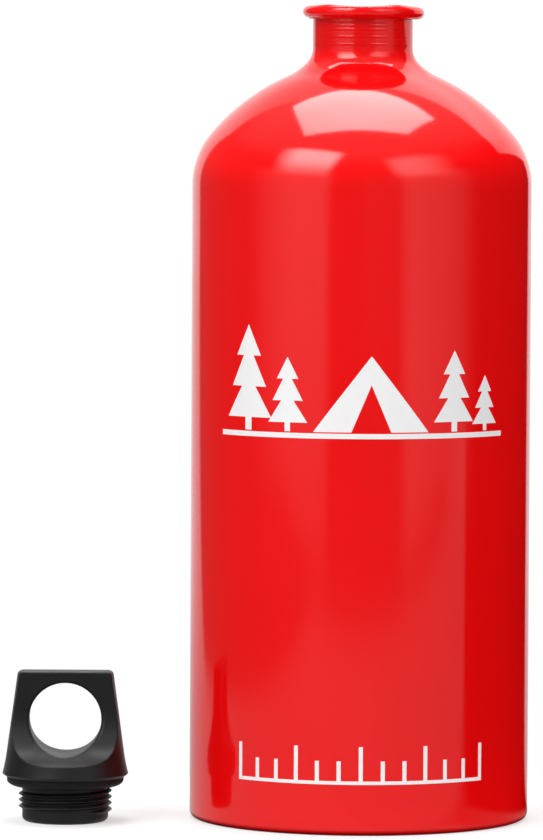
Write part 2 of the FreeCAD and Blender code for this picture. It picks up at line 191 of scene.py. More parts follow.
# World: borders of the backdrop, and the levels of the room. Pairs hold where a ramp begins and
# ends, across a border or along the ray's x or z, and the levels there.
BACKDROP_LEFT_LEAN = 0.72
BACKDROP_TOP_RISE = 0.52
BACKDROP_TOP_LEAN = 0.374
BACKDROP_EDGE = (-0.03, 0.03)
BACKDROP_HIGH = (0.40, 0.62)
BACKDROP_ACROSS = (-0.25, 0.35)
BACKDROP_GAIN = (-0.18, 0.80)
CEILING_HIGH = (0.45, 0.85)
CEILING_LEVELS = (0.0, 0.35)
ROOM_ACROSS = (0.35, 0.75)
ROOM_LEVELS = (0.15, 0.0)

# Floor, and the painted glow it shows in the gloss in place of being lit: a pale sheet in front,
# cut by a painted dark wedge on the right but for a slanting strip at the foot, and a bright sweep
# behind between two lines (slope and step)
FLOOR_LEFT, FLOOR_RIGHT = -2.0, 2.0
FLOOR_FRONT, FLOOR_BACK = -0.9, 4.0
FLOOR_COLOUR = 0.85
SHEET_FRONT = (-0.80, -0.58)
SHEET_LEFT = (-0.50, -0.34)
SHEET_LEVELS = (0.16, 0.55)
WEDGE_LEAN = 0.26
WEDGE_FRONT = (-0.02, -0.055)
WEDGE_LEFT = (0.06, 0.03)
STRIP_LEAN = 0.4
STRIP_EDGE = (0.054, 0.070)
STRIP_LEVELS = (0.42, 0.0)
SWEEP_FAR = (0.1, 1.2)
SWEEP_LEVELS = (0.62, 0.92)
SWEEP_LINES = ((-1.46, -0.33), (1.86, -0.079))
SWEEP_EDGE = (-0.05, 0.10)
# Where the painted contact shadow under the foot ends
CONTACT_SHADE_EDGE = (0.0490, 0.0535)
BOUNCE_ACROSS = (-0.15, 0.10)
BOUNCE_LEVELS = (0.24, 0.05)
AROUND_EDGE = (0.055, 0.09)
AROUND_LEVELS = (0.42, 0.0)
CLEAR_EDGE = (0.085, 0.135)
CLEAR_LEVELS = (0.5, 1.0)

# Dark card: its outline as y and z
CARD_X = 0.110
CARD_OUTLINE = ((-0.03, 0.0), (0.118, 0.0), (0.118, 0.211), (0.015, 0.236), (-0.03, 0.25))
CARD_COLOUR = (0.01, 0.01, 0.01, 1)


def polar(centre, radius, degrees):
    """The point at a radius and an angle from a centre."""
    a = math.radians(degrees)
    return (centre[0] + radius * math.cos(a), centre[1] + radius * math.sin(a))


def arc(centre, radius, start, end, count):
    """Points of an arc between two angles in degrees, without its first point."""
    return [polar(centre, radius, start + (end - start) * k / count) for k in range(1, count + 1)]


def run(start, end, count):
    """Points of a straight run, without its first point."""
    shares = [k / count for k in range(1, count + 1)]
    across, up = end[0] - start[0], end[1] - start[1]
    return [(start[0] + across * share, start[1] + up * share) for share in shares]


def smooth(low, high, value):
    """A smooth step from 0 at `low` to 1 at `high`."""
    share = min(max((value - low) / (high - low), 0.0), 1.0)
    return share * share * (3 - 2 * share)


def shoulder_arcs():
    """Centres of shoulder, dome, collar and neck fillet, and the angle where dome meets collar."""
    bend = math.radians(COLLAR_ANGLE)
    shoulder = (BODY_RADIUS - SHOULDER_RADIUS, BODY_HEIGHT)
    dome = polar(shoulder, SHOULDER_RADIUS - DOME_RADIUS, SHOULDER_ANGLE)
    reach = COLLAR_RADIUS - NECK_FILLET
    collar_x = NECK_RADIUS + NECK_FILLET + reach * math.cos(bend)
    top = math.acos((collar_x - dome[0]) / (DOME_RADIUS + COLLAR_RADIUS))
    collar = (collar_x, dome[1] + (DOME_RADIUS + COLLAR_RADIUS) * math.sin(top))
    fillet = (NECK_RADIUS + NECK_FILLET, collar[1] - reach * math.sin(bend))
    return shoulder, dome, collar, fillet, math.degrees(top)


SHOULDER, DOME, COLLAR, FILLET, DOME_TOP = shoulder_arcs()
NECK_LOW = FILLET[1]
NECK_TOP = NECK_LOW + NECK_LENGTH


def bottle_section():
    """The shell's section from under the base, up the outside, over the rim and down inside.

    Returns the points and the number of points that belong to the lacquered outside.
    """
    steps = OUTSIDE_STEPS
    foot_outer = BODY_RADIUS - BASE_CORNER
    foot_inner = foot_outer - FOOT_WIDTH
    base_radius = (foot_inner ** 2 + BASE_CROWN ** 2) / (2 * BASE_CROWN)
    base = (0.0, BASE_CROWN - base_radius)
    foot_angle = math.degrees(math.asin(-base[1] / base_radius))
    roll = (NECK_RADIUS - WALL + ROLL_RADIUS, NECK_TOP)

    outside = [(0.0, BASE_CROWN)]
    outside += arc(base, base_radius, 90, foot_angle, steps["base"])
    outside += run(outside[-1], (foot_outer, 0.0), steps["foot"])
    outside += arc((foot_outer, BASE_CORNER), BASE_CORNER, -90, 0, steps["corner"])
    outside += run(outside[-1], (BODY_RADIUS, BODY_HEIGHT), steps["side"])
    outside += arc(SHOULDER, SHOULDER_RADIUS, 0, SHOULDER_ANGLE, steps["shoulder"])
    outside += arc(DOME, DOME_RADIUS, SHOULDER_ANGLE, DOME_TOP, steps["dome"])
    outside += arc(COLLAR, COLLAR_RADIUS, 180 + DOME_TOP, 180 + COLLAR_ANGLE, steps["collar"])
    outside += arc(FILLET, NECK_FILLET, 180 + COLLAR_ANGLE, 180, steps["fillet"])
    outside += run(outside[-1], (NECK_RADIUS, NECK_TOP), steps["neck"])
    outside += arc(roll, ROLL_RADIUS - WALL, 180, ROLL_END, steps["roll_hollow"])
    outside += run(outside[-1], polar(roll, ROLL_RADIUS, ROLL_END), steps["roll_tip"])
    outside += arc(roll, ROLL_RADIUS, ROLL_END, 180, steps["roll"])

    steps = INSIDE_STEPS
    floor_radius = base_radius + BASE_WALL
    corner_x = BODY_RADIUS - WALL - BASE_INNER_ROUND
    reach = floor_radius + BASE_INNER_ROUND
    corner = (corner_x, base[1] + math.sqrt(reach ** 2 - corner_x ** 2))
    floor_angle = math.degrees(math.acos(corner_x / reach))
    inside = run(outside[-1], (NECK_RADIUS - WALL, NECK_LOW), steps["neck"])
    inside += arc(FILLET, NECK_FILLET + WALL, 180, 180 + COLLAR_ANGLE, steps["fillet"])
    inside += arc(
        COLLAR, COLLAR_RADIUS + WALL, 180 + COLLAR_ANGLE, 180 + DOME_TOP, steps["collar"]
    )
    inside += arc(DOME, DOME_RADIUS - WALL, DOME_TOP, SHOULDER_ANGLE, steps["dome"])
    inside += arc(SHOULDER, SHOULDER_RADIUS - WALL, SHOULDER_ANGLE, 0, steps["shoulder"])
    inside += run(inside[-1], (BODY_RADIUS - WALL, corner[1]), steps["side"])
    inside += arc(corner, BASE_INNER_ROUND, 0, floor_angle - 180, steps["corner"])
    inside += arc(base, floor_radius, floor_angle, 90, steps["base"])
    return outside + inside, len(outside)


def neck_finish(radius, height, angle):
    """The small departures of the neck from a plain turned form."""
    across = math.cos(angle)
    on_neck = NECK_LOW <= height <= NECK_TOP
    if on_neck and abs(radius - NECK_RADIUS) < ON_WALL:
        rib, phase = divmod((height - NECK_LOW - RIB_FIRST) / RIB_PITCH, 1.0)
        if 0 <= rib < len(RIB_HEIGHTS):
            stand = RIB_HEIGHTS[int(rib)] * (1 - RIB_SIDE_LOSS * smooth(*RIB_SIDE, abs(across)))
            radius += stand * min(smooth(0.0, RIB_CREST, phase), smooth(1.0, RIB_CREST, phase))
    elif on_neck and abs(radius - (NECK_RADIUS - WALL)) < ON_WALL:
        above, below = height - NECK_LOW, NECK_TOP - height
        fade = smooth(*NECK_THREAD_FOOT, above) * smooth(*NECK_THREAD_TOP, below)
        phase = (above / THREAD_PITCH - angle / FULL_TURN) % 1.0
        ridge = smooth(*NECK_THREAD_RISE, phase) * smooth(*NECK_THREAD_FALL, phase)
        radius -= NECK_THREAD_DEPTH * fade * ridge
    elif height > NECK_TOP - ROLL_RADIUS:
        share = smooth(NECK_RADIUS - WALL, NECK_RADIUS + RIM_REACH, radius)
        left = smooth(*RIM_LEFT, -across)
        right = smooth(*RIM_RIGHT, across)
        rise = height - NECK_TOP
        if rise > 0:
            crest = ROLL_RADIUS - RIM_DIP * max(1 - (across / RIM_DIP_HALF) ** 2, 0.0)
            rise = min(rise, crest) * (1 - RIM_FLAT_LEFT * left - RIM_FLAT_RIGHT * right)
        else:
            rise *= 1 - RIM_THIN * share
        height = NECK_TOP + rise - RIM_LOW_SIDE * share * right
        radius -= RIM_PINCH * share * left
    return radius, height


def add_object(name, data):
    """A new object in the scene."""
    made = bpy.data.objects.new(name, data)
    bpy.context.scene.collection.objects.link(made)
    return made


def new_piece(name, mesh, body):
    """An object for a finished mesh, riding on a body."""
    piece = add_object(name, mesh)
    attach(piece, body)
    return piece


def finished_mesh(name, bm):
    """The mesh of a bmesh, with its faces turned outwards."""
    bmesh.ops.recalc_face_normals(bm, faces=bm.faces)
    mesh = bpy.data.meshes.new(name)
    bm.to_mesh(mesh)
    bm.free()
    return mesh


def ring_vertex(bm, centre, radius, height, angle):
    """A vertex at a radius, height and angle round a vertical axis."""
    x = centre[0] + radius * math.cos(angle)
    y = centre[1] + radius * math.sin(angle)
    return bm.verts.new((x * MM, y * MM, height * MM))


def turned_mesh(name, section, segments, centre=(0.0, 0.0), finish=None, ring=False):
    """A section turned about a vertical axis.

    `finish` alters the radius and height of each point. `ring` closes the section on itself;
    otherwise its ends lie on the axis. The faces' "band" says which step of the section they are.
    """
    bm = bmesh.new()
    rows = []
    for radius, height in section:
        if radius < ON_AXIS:
            rows.append([bm.verts.new((centre[0] * MM, centre[1] * MM, height * MM))])
            continue
        row = []
        for k in range(segments):
            angle = FULL_TURN * k / segments
            r, z = finish(radius, height, angle) if finish else (radius, height)
            row.append(ring_vertex(bm, centre, r, z, angle))
        rows.append(row)
    pairs = list(zip(rows, rows[1:]))
    if ring:
        pairs.append((rows[-1], rows[0]))
    band = bm.faces.layers.int.new("band")
    for number, (low, high) in enumerate(pairs):
        for k in range(segments):
            after = (k + 1) % segments
            if len(low) == 1:
                face = bm.faces.new((low[0], high[after], high[k]))
            elif len(high) == 1:
                face = bm.faces.new((low[k], low[after], high[0]))
            else:
                face = bm.faces.new((low[k], low[after], high[after], high[k]))
            face.smooth = True
            face[band] = number
    return finished_mesh(name, bm)


def thread_mesh(name):
    """The stopper's screw thread: one right-handed ridge, drawn out to nothing at both ends."""
    half_root = THREAD_ROOT_HALF * THREAD_PITCH
    half_crest = THREAD_CREST_HALF * THREAD_PITCH
    sunk = PLUG_RADIUS - THREAD_SINK
    shoulder = THREAD_CREST - THREAD_CREST_ROUND
    flank = [(sunk, half_root), (PLUG_RADIUS, half_root), (shoulder, half_crest)]
    profile = [(radius, -height) for radius, height in flank]
    profile += [(THREAD_CREST, 0.0), *reversed(flank)]
    bm = bmesh.new()
    rows = []
    for k in range(int(THREAD_TURNS * THREAD_STEPS) + 1):
        turns = k / THREAD_STEPS
        angle = math.radians(THREAD_FIRST_ANGLE) + FULL_TURN * turns
        share = smooth(0, THREAD_RUN_OUT, turns)
        share *= smooth(THREAD_TURNS, THREAD_TURNS - THREAD_RUN_OUT, turns)
        share = max(share, THREAD_LEAST)
        root_share = min(1.0, THREAD_ROOT_KEPT + share)
        width = THREAD_WIDTH_KEPT + (1 - THREAD_WIDTH_KEPT) * share
        row = []
        for radius, height in profile:
            r = sunk + (radius - sunk) * (share if radius > PLUG_RADIUS else root_share)
            z = THREAD_START + THREAD_PITCH * turns + height * width
            row.append(ring_vertex(bm, (STOPPER_X, STOPPER_Y), r, z, angle))
        rows.append(row)
    for low, high in zip(rows, rows[1:]):
        for j in range(len(profile)):
            after = (j + 1) % len(profile)
            bm.faces.new((low[j], low[after], high[after], high[j])).smooth = True
    bm.faces.new(rows[0])
    bm.faces.new(list(reversed(rows[-1])))
    mesh = finished_mesh(name, bm)
    mesh.set_sharp_from_angle(angle=math.radians(THREAD_SHARP))
    return mesh


def ink_mesh(name, shapes):
    """Flat outlines (way round the wall, height) laid round the bottle as a thin film of ink."""
    bm = bmesh.new()
    for outline in shapes:
        bm.faces.new([bm.verts.new((along, height, 0.0)) for along, height in outline])
    bmesh.ops.triangulate(bm, faces=bm.faces)
    low = min(v.co.x for v in bm.verts)
    high = max(v.co.x for v in bm.verts)
    for k in range(1, int((high - low) / INK_STEP) + 1):
        everything = [*bm.verts, *bm.edges, *bm.faces]
        cut = (low + k * INK_STEP, 0, 0)
        bmesh.ops.bisect_plane(bm, geom=everything, plane_co=cut, plane_no=(1, 0, 0))
    top = bmesh.ops.extrude_face_region(bm, geom=list(bm.faces))["geom"]
    outer = {v for v in top if isinstance(v, bmesh.types.BMVert)}
    for v in bm.verts:
        radius = BODY_RADIUS + (INK_OUT if v in outer else -INK_IN)
        angle = v.co.x / BODY_RADIUS
        v.co = Vector((radius * math.sin(angle), -radius * math.cos(angle), v.co.y)) * MM
    return finished_mesh(name, bm)


class Graph:
    """A node tree with short calls for adding nodes and joining sockets."""

    def __init__(self, tree):
        self.tree = tree
        tree.nodes.clear()

    def node(self, kind, **settings):
        """A new node, with its own settings."""
        made = self.tree.nodes.new(kind)
        for key, value in settings.items():
            setattr(made, key, value)
        return made

    def join(self, source, target):
        """A link between two sockets."""
        self.tree.links.new(source, target)

    def feed(self, target, value):
        """A socket takes either a link from another socket or a plain value."""
        if isinstance(value, bpy.types.NodeSocket):
            self.join(value, target)
        else:
            target.default_value = value

    def math(self, operation, first, second=0.0):
        """One operation on sockets or numbers."""
        made = self.node("ShaderNodeMath", operation=operation)
        self.feed(made.inputs[0], first)
        self.feed(made.inputs[1], second)
        return made.outputs[0]

    def blend(self, *terms):
        """A sum of sockets times weights."""
        total = None
        for socket, weight in terms:
            scaled = self.math("MULTIPLY", socket, weight)
            total = scaled if total is None else self.math("ADD", total, scaled)
        return total

    def ramp(self, value, between, levels=(0.0, 1.0), kind="SMOOTHSTEP"):
        """A step from one level to another as a value goes between two numbers."""
        made = self.node("ShaderNodeMapRange", interpolation_type=kind)
        self.feed(made.inputs["Value"], value)
        ends = ("From Min", "From Max", "To Min", "To Max")
        for end, number in zip(ends, (*between, *levels)):
            made.inputs[end].default_value = number
        return made.outputs[0]

    def parts(self, vector):
        """The x, y and z of a vector."""
        made = self.node("ShaderNodeSeparateXYZ")
        self.join(vector, made.inputs[0])
        return made.outputs

    def noise(self, where, scale, detail=2.0):
        """A cloudy value from 0 to 1."""
        made = self.node("ShaderNodeTexNoise")
        self.join(where, made.inputs["Vector"])
        made.inputs["Scale"].default_value = scale
        made.inputs["Detail"].default_value = detail
        return made.outputs[0]

    def colours(self, share, first, second):
        """A mix of two colours."""
        made = self.node("ShaderNodeMix", data_type="RGBA")
        self.join(share, made.inputs["Factor"])
        made.inputs[MIX_COLOUR_A].default_value = (*first, 1)
        made.inputs[MIX_COLOUR_B].default_value = (*second, 1)
        return made.outputs[MIX_COLOUR_OUT]

    def bump(self, height, strength, distance):
        """A normal from a height."""
        made = self.node("ShaderNodeBump")
        made.inputs["Strength"].default_value = strength
        made.inputs["Distance"].default_value = distance
        self.join(height, made.inputs["Height"])
        return made.outputs[0]

    def show(self, shader, kind="ShaderNodeOutputMaterial"):
        """The tree's output takes a shader."""
        self.join(shader.outputs[0], self.node(kind).inputs["Surface"])


def node_material(name):
    """A material and its empty graph."""
    made = bpy.data.materials.new(name)
    made.use_nodes = True
    return made, Graph(made.node_tree)


def new_material(name, plain):
    """A material with one principled shader, its graph and the object's own coordinates.

    `plain` holds the values that are the same all over the surface.
    """
    made, graph = node_material(name)
    shader = graph.node("ShaderNodeBsdfPrincipled")
    graph.show(shader)
    for socket, value in plain.items():
        shader.inputs[socket].default_value = value
    where = graph.node("ShaderNodeTexCoord").outputs["Object"]
    return made, graph, shader, where


def dress(graph, shader, tone, grain, colours, roughness, strength, distance):
    """Colour and roughness of a shader follow one noise, and its bump follows another."""
    graph.join(graph.colours(tone, *colours), shader.inputs["Base Color"])
    graph.join(graph.ramp(tone, NOISE_MIDDLE, roughness), shader.inputs["Roughness"])
    graph.join(graph.bump(grain, strength, distance), shader.inputs["Normal"])


def red_lacquer():
    """Gloss lacquer under a clear coat; the colour is darkened on the neck as painted shade from
    the rim.
    """
    made, graph, shader, where = new_material("red_lacquer", {
        "Specular IOR Level": 0.0, "Coat Weight": 1.0, "Coat Roughness": 0.09, "Coat IOR": 1.5,
    })
    height = graph.parts(where)["Z"]
    # Painted shade: the colour darkens on the neck, in place of the shade that the rim casts from
    # the top light
    neck = graph.math(
        "MULTIPLY", graph.ramp(height, NECK_SHADE_FOOT), graph.ramp(height, NECK_SHADE_TOP)
    )
    tone = graph.ramp(graph.noise(where, scale=14.0), NOISE_MIDDLE, levels=(0.0, 0.2))
    tone_and_neck_shade = graph.math("MAXIMUM", tone, neck)
    colour = graph.colours(tone_and_neck_shade, (0.90, 0.0025, 0.0033), (0.75, 0.0021, 0.0029))
    graph.join(colour, shader.inputs["Base Color"])
    grain = graph.noise(where, scale=60.0, detail=3.0)
    graph.join(graph.ramp(grain, NOISE_MIDDLE, levels=(0.40, 0.46)), shader.inputs["Roughness"])
    ripple = graph.noise(where, scale=420.0, detail=1.0)
    peel = graph.bump(ripple, strength=0.05, distance=0.00006)
    graph.join(peel, shader.inputs["Normal"])
    graph.join(peel, shader.inputs["Coat Normal"])
    return made


def bare_aluminium():
    """Bare metal inside the shell, with streaks along the axis from drawing."""
    made, graph, shader, where = new_material("bare_aluminium", {"Metallic": 1.0})
    stretch = graph.node("ShaderNodeMapping")
    graph.join(where, stretch.inputs["Vector"])
    stretch.inputs["Scale"].default_value = (1.0, 1.0, 0.06)
    streaks = graph.noise(stretch.outputs[0], scale=900.0, detail=3.0)
    dress(
        graph, shader, streaks, streaks, colours=((0.60, 0.60, 0.59), (0.72, 0.72, 0.71)),
        roughness=(0.34, 0.48), strength=0.15, distance=0.00005,
    )
    return made


def black_plastic():
    """The stopper's moulded plastic, with a fine grain."""
    made, graph, shader, where = new_material("black_plastic", {"Specular IOR Level": 0.3})
    grain = graph.noise(where, scale=2600.0)
    cloud = graph.noise(where, scale=120.0, detail=3.0)
    dress(
        graph, shader, cloud, grain, colours=((0.0050, 0.0050, 0.0056), (0.0078, 0.0078, 0.0084)),
        roughness=(0.40, 0.52), strength=0.25, distance=0.00004,
    )
    return made


def black_rubber():
    """The seal's rubber."""
    made, graph, shader, where = new_material("black_rubber", {"Specular IOR Level": 0.2})
    grain = graph.noise(where, scale=1500.0, detail=3.0)
    dress(
        graph, shader, grain, grain, colours=((0.0050, 0.0050, 0.0055), (0.0085, 0.0085, 0.0090)),
        roughness=(0.55, 0.68), strength=0.3, distance=0.00005,
    )
    return made


def white_ink():
    """The print's ink."""
    made, graph, shader, where = new_material("white_ink", {})
    grain = graph.noise(where, scale=900.0, detail=3.0)
    dress(
        graph, shader, grain, grain, colours=((0.92, 0.905, 0.91), (0.97, 0.955, 0.96)),
        roughness=(0.38, 0.48), strength=0.1, distance=0.00003,
    )
    return made


def build_bottle():
    """The shell, lacquered outside and bare inside."""
    section, outside = bottle_section()
    mesh = turned_mesh("bottle_body", section, BOTTLE_SEGMENTS, finish=neck_finish)
    mesh.materials.append(red_lacquer())
    mesh.materials.append(bare_aluminium())
    bands = mesh.attributes["band"].data
    for face in mesh.polygons:
        face.material_index = 0 if bands[face.index].value < outside - 1 else 1
    mesh.set_sharp_from_angle(angle=math.radians(BOTTLE_SHARP))
    piece = new_piece("bottle_body", mesh, "bottle")
    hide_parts("bottle_shell")


def bar(left, right, low, high):
    """The outline of an upright rectangle."""
    return [(left, low), (right, low), (right, high), (left, high)]


def pine(at, width, height):
    """A pine of a few tiers on a short trunk."""
    trunk_top = CAMP_GROUND + PINE_TRUNK * height
    trunk_half = PINE_TRUNK_HALF * width
    tier = (height - PINE_TRUNK * height) / PINE_TIERS
    right = [(at, CAMP_GROUND + height)]
    left = []
    for number in range(PINE_TIERS):
        below = PINE_TIERS - 1 - number
        low = trunk_top + below * tier
        half = width / 2 * (PINE_TOP_TIER + PINE_TIER_GROWTH * number)
        # Under each tier but the lowest, the outline steps in to the next one
        for reach in (half, PINE_NOTCH * half) if below else (half,):
            right.append((at + reach, low))
            left.append((at - reach, low))
    return [bar(at - trunk_half, at + trunk_half, CAMP_GROUND, trunk_top), right + left[::-1]]


def tent(at, width, height):
    """A ridge tent seen from its open end."""
    ridge = (at, CAMP_GROUND + height)
    door_top = (at, CAMP_GROUND + TENT_DOOR_TOP * height)
    half, door = width / 2, TENT_DOOR_HALF * width
    left = [(at - half, CAMP_GROUND), (at - door, CAMP_GROUND), door_top, ridge]
    right = [(at + half, CAMP_GROUND), ridge, door_top, (at + door, CAMP_GROUND)]
    return [left, right]


def build_print():
    """The white camp line and, near the foot, the plain scale."""
    line_low, line_high = CAMP_GROUND - CAMP_LINE_LOW, CAMP_GROUND - CAMP_LINE_HIGH
    camp = [bar(-CAMP_LINE_HALF, CAMP_LINE_HALF, line_low, line_high)]
    camp += tent(*TENT)
    for place in PINES:
        camp += pine(*place)

    mark_low = SCALE_LOW + SCALE_LINE
    scale = [bar(-SCALE_HALF, SCALE_HALF, SCALE_LOW, mark_low)]
    for k in range(SCALE_MARKS):
        at = SCALE_FIRST + SCALE_PITCH * k
        tall = SCALE_LONG if k % SCALE_LONG_EVERY == 0 else SCALE_SHORT
        scale.append(bar(at - SCALE_MARK_HALF, at + SCALE_MARK_HALF, mark_low, mark_low + tall))

    ink = white_ink()
    for name, shapes in (("print_camp", camp), ("print_scale", scale)):
        mesh = ink_mesh(name, shapes)
        mesh.materials.append(ink)
        new_piece(name, mesh, "bottle")


def build_stopper():
    """The CAD stopper keeps its shape and gets its plastic; its plug gets a thread."""
    plastic = black_plastic()
    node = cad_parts["screw_stopper"]
    node.data.materials.clear()
    node.data.materials.append(plastic)
    mesh = thread_mesh("stopper_thread")
    mesh.materials.append(plastic)
    new_piece("stopper_thread", mesh, "stopper")


def build_seal():
    """The ring under the stopper's flange: a flat foot that swells out to an upright band."""
    low = PLUG_LENGTH - SEAL_HEIGHT
    edge = PLUG_LENGTH - SEAL_EDGE
    foot = SEAL_INNER + SEAL_FOOT
    steps = SEAL_STEPS
    section = [(SEAL_INNER, edge)]
    section += run(section[-1], (SEAL_INNER, low + SEAL_FOOT_ROUND), steps["bore"])
    foot_round = (SEAL_INNER + SEAL_FOOT_ROUND, low + SEAL_FOOT_ROUND)
    section += arc(foot_round, SEAL_FOOT_ROUND, 180, 270, steps["foot_round"])
    section += run(section[-1], (foot, low), steps["foot"])
    swell = SEAL_OUTER - SEAL_INNER - SEAL_FOOT
    rise = SEAL_HEIGHT - SEAL_BAND
    for k in range(1, steps["swell"] + 1):
        a = math.radians(90 * k / steps["swell"])
        section.append((foot + swell * math.sin(a), low + rise * (1 - math.cos(a))))
    section += run(section[-1], (SEAL_OUTER, edge), steps["band"])
    section += arc((SEAL_OUTER - SEAL_EDGE, edge), SEAL_EDGE, 0, 90, steps["outer_edge"])
    inner = SEAL_INNER + SEAL_EDGE
    section += run(section[-1], (inner, PLUG_LENGTH), steps["top"])
    # The last arc stops short of the first point, which closes the ring
    section += arc((inner, edge), SEAL_EDGE, 90, SEAL_LAST_ANGLE, steps["inner_edge"])
    mesh = turned_mesh(
        "seal_ring", section, SEAL_SEGMENTS, centre=(STOPPER_X, STOPPER_Y), ring=True
    )
    mesh.materials.append(black_rubber())
    piece = new_piece("seal_ring", mesh, "seal")
    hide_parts("stopper_seal")


def point_at(thing, aim, roll):
    """Turns a camera or lamp to face a point, then rolls it about its view."""
    thing.rotation_mode = "QUATERNION"
    facing = (Vector(aim) - thing.location).to_track_quat("-Z", "Y")
    thing.rotation_quaternion = facing @ Quaternion((0, 0, 1), math.radians(roll))


def build_camera():
    """The camera, at the photograph's viewing angle."""
    data = bpy.data.cameras.new("camera")
    data.lens = CAMERA_LENS
    data.sensor_width = CAMERA_SENSOR
    camera = add_object("camera", data)
    camera.location = Vector(CAMERA_PLACE) * MM
    point_at(camera, Vector(CAMERA_AIM) * MM, CAMERA_ROLL)
    bpy.context.scene.camera = camera


def lamp_level(graph, across, upward, bow):
    """The light of a softbox over its face, as softbox describes it."""
    face = graph.parts(graph.node("ShaderNodeNewGeometry").outputs["Parametric"])
    ramps = []
    for socket, edges in zip(face, (across, upward)):
        if edges:
            begins, full, falls, ends = edges
            ramps += [graph.ramp(socket, (begins, full)), graph.ramp(socket, (ends, falls))]
    if bow:
        off_middle = graph.math("SUBTRACT", graph.math("MULTIPLY", face[0], 2.0), 1.0)
        drawn_in = graph.math("MULTIPLY", off_middle, off_middle)
        lower = graph.math("SUBTRACT", face[1], graph.math("MULTIPLY", drawn_in, bow[0]))
        upper = graph.math("ADD", face[1], graph.math("MULTIPLY", drawn_in, bow[1]))
        ramps += [graph.ramp(lower, (0.0, BOW_EDGE)), graph.ramp(upper, (1.0, 1.0 - BOW_EDGE))]
    level = 1.0
    for ramp in ramps:
        level = graph.math("MULTIPLY", ramp, level)
    return level


def softbox(
    name, size, place, radiance, aim=LAMP_CENTRE,
    across=None, upward=None, bow=None, roll=0.0, mirrored=True,
):
    """A rectangular area lamp facing a point, with soft edges given as shares of its face.

    `across` and `upward` each hold where the light begins, is full, begins to fall and ends. `bow`
    holds how far the ends of its lower and upper edge draw in. A lamp that isn't `mirrored` lights
    the object without showing in its gloss.
    """
    data = bpy.data.lights.new(name, "AREA")
    data.shape = "RECTANGLE"
    data.size, data.size_y = size
    data.energy = radiance * math.pi * size[0] * size[1]
    if across or upward or bow:
        data.use_nodes = True
        graph = Graph(data.node_tree)
        emission = graph.node("ShaderNodeEmission")
        graph.join(lamp_level(graph, across, upward, bow), emission.inputs["Strength"])
        graph.show(emission, "ShaderNodeOutputLight")
    lamp = add_object(name, data)
    lamp.location = place
    point_at(lamp, aim, roll)
    lamp.visible_glossy = mirrored


def toward(azimuth, elevation):
    """A lamp's place, seen from the shoulder.

    Azimuth 0 is the camera's side, and right of it is positive.
    """
    a = math.radians(azimuth)
    e = math.radians(elevation)
    step = Vector((math.sin(a) * math.cos(e), -math.cos(a) * math.cos(e), math.sin(e)))
    return Vector(LAMP_CENTRE) + step * LAMP_DISTANCE


def build_lights():
    """Softboxes that show in the gloss, and fills that don't."""
    softbox(
        "top_softbox", size=(0.90, 0.59), place=(0.042, 0.089, 1.129), radiance=7.9,
        aim=(0.345, -0.532, 0.028), across=(-1.1, 0.5, 0.5, 2.1), bow=(0.064, 0.136), roll=-34.2,
    )
    softbox(
        "left_key", size=(1.46, 1.15), place=toward(-41, 34), radiance=8.2,
        across=(0.0, 0.38, 0.72, 0.86), upward=(0.0, 0.65, 0.80, 1.0),
    )
    softbox(
        "left_panel", size=(2.0, 1.1), place=toward(-52, 6), radiance=0.66,
        across=(0.0, 0.62, 0.84, 1.0), upward=(0.0, 0.30, 0.85, 1.0),
    )
    softbox(
        "right_key", size=(1.5, 1.0), place=toward(45, 30), radiance=2.5,
        across=(0.0, 0.25, 0.35, 1.0), upward=(0.0, 0.45, 0.65, 1.0),
    )
    softbox(
        "right_panel", size=(1.9, 1.1), place=toward(53, 6), radiance=0.6,
        across=(0.015, 0.236, 0.45, 1.02), upward=(0.0, 0.2, 0.85, 1.0),
    )
    softbox("right_fill", size=(1.2, 1.2), place=toward(85, 15), radiance=1.45, mirrored=False)
    softbox("left_fill", size=(1.2, 1.2), place=toward(-80, 45), radiance=0.15, mirrored=False)
    softbox("front_fill", size=(1.2, 0.6), place=toward(22, 5), radiance=1.25, mirrored=False)
    softbox(
        "foot_fill", size=(0.4, 0.06), place=(0.03, -0.2, 0.03), radiance=0.6,
        aim=(0.02, 0.0, 0.12), mirrored=False,
    )


def build_world():
    """White to the camera; to all else a room with a pale backdrop and a dark camera side."""
    world = bpy.data.worlds.new("studio")
    bpy.context.scene.world = world
    world.use_nodes = True
    graph = Graph(world.node_tree)
    x, y, z = graph.parts(graph.node("ShaderNodeTexCoord").outputs["Generated"])

    left_border = graph.blend((x, 1.0), (y, BACKDROP_LEFT_LEAN))
    top_border = graph.blend((y, 1.0), (z, -BACKDROP_TOP_RISE), (x, -BACKDROP_TOP_LEAN))
    backdrop = graph.math(
        "MULTIPLY",
        graph.ramp(left_border, BACKDROP_EDGE),
        graph.ramp(top_border, BACKDROP_EDGE),
    )
    gain = graph.math(
        "MULTIPLY",
        graph.ramp(z, BACKDROP_HIGH),
        graph.ramp(x, BACKDROP_ACROSS, BACKDROP_GAIN),
    )
    backdrop = graph.math("MULTIPLY", backdrop, graph.math("ADD", gain, 1.0))
    ceiling = graph.ramp(z, CEILING_HIGH, CEILING_LEVELS)
    room = graph.math("ADD", ceiling, graph.ramp(x, ROOM_ACROSS, ROOM_LEVELS))
    level = graph.math("MAXIMUM", backdrop, room)

    path = graph.node("ShaderNodeLightPath").outputs
    clear = graph.math("MAXIMUM", path["Is Camera Ray"], path["Is Transmission Ray"])
    background = graph.node("ShaderNodeBackground")
    background.inputs["Color"].default_value = (1, 1, 1, 1)
    graph.join(graph.math("MAXIMUM", level, clear), background.inputs["Strength"])
    graph.show(background, "ShaderNodeOutputWorld")


def flat_object(name, corners):
    """A flat object on its corners, with a material, and the material's empty graph."""
    mesh = bpy.data.meshes.new(name)
    mesh.from_pydata(corners, [], [list(range(len(corners)))])
    material, graph = node_material(name)
    mesh.materials.append(material)
    return add_object(name, mesh), graph


